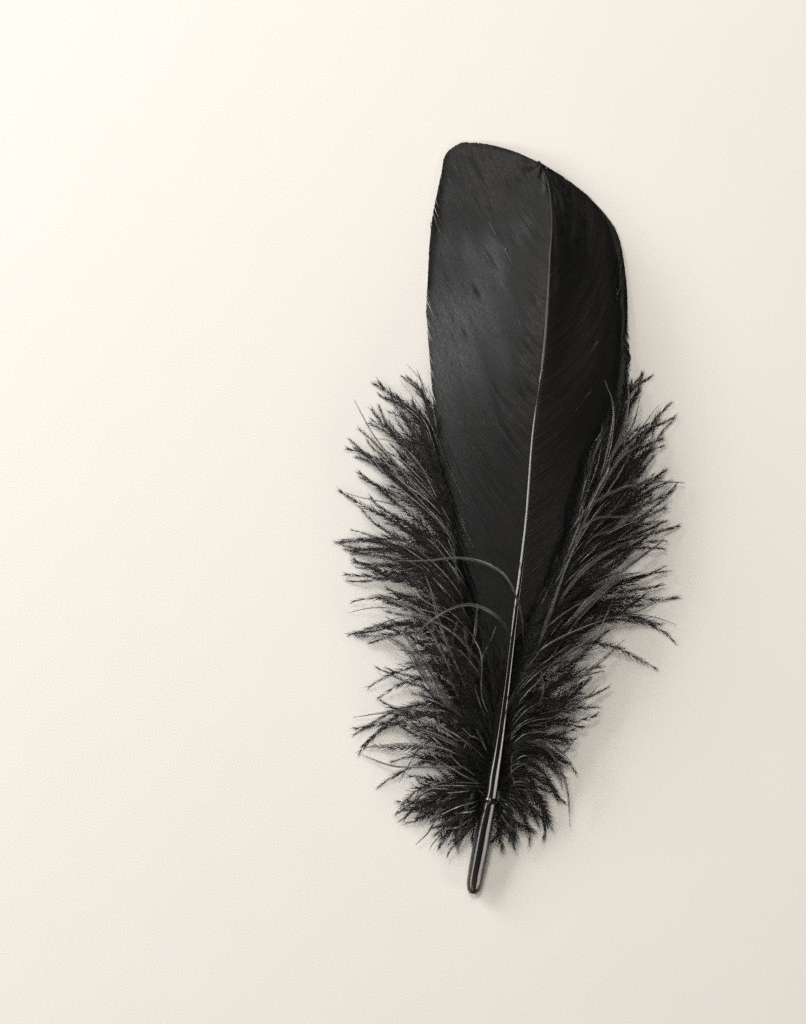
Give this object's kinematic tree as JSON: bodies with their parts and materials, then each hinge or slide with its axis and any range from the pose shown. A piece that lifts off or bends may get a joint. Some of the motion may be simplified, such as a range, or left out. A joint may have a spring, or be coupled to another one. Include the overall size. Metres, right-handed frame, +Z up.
{
  "type": "goose feather",
  "caption": "Black-dyed goose feather with a bare quill, a broad webbed vane and loose down at its foot, lying with its rounded back up.",
  "frame": {"origin": "middle of the footprint, on the surface that the feather lies on", "axes": "+Y from the quill's end to the top of the vane, +X to the right seen from above with the quill at the bottom, +Z up, out of the feather's rounded back"},
  "size_m": [0.0866, 0.18, 0.0159],
  "materials": {
    "quill": "glossy dyed horn",
    "vane": "satin barbs",
    "down": "soft fluff"
  },
  "bodies": {
    "root": {"shaft": "quill", "left_vane": "vane", "right_vane": "vane", "left_down": "down", "right_down": "down"}
  },
  "joints": []
}
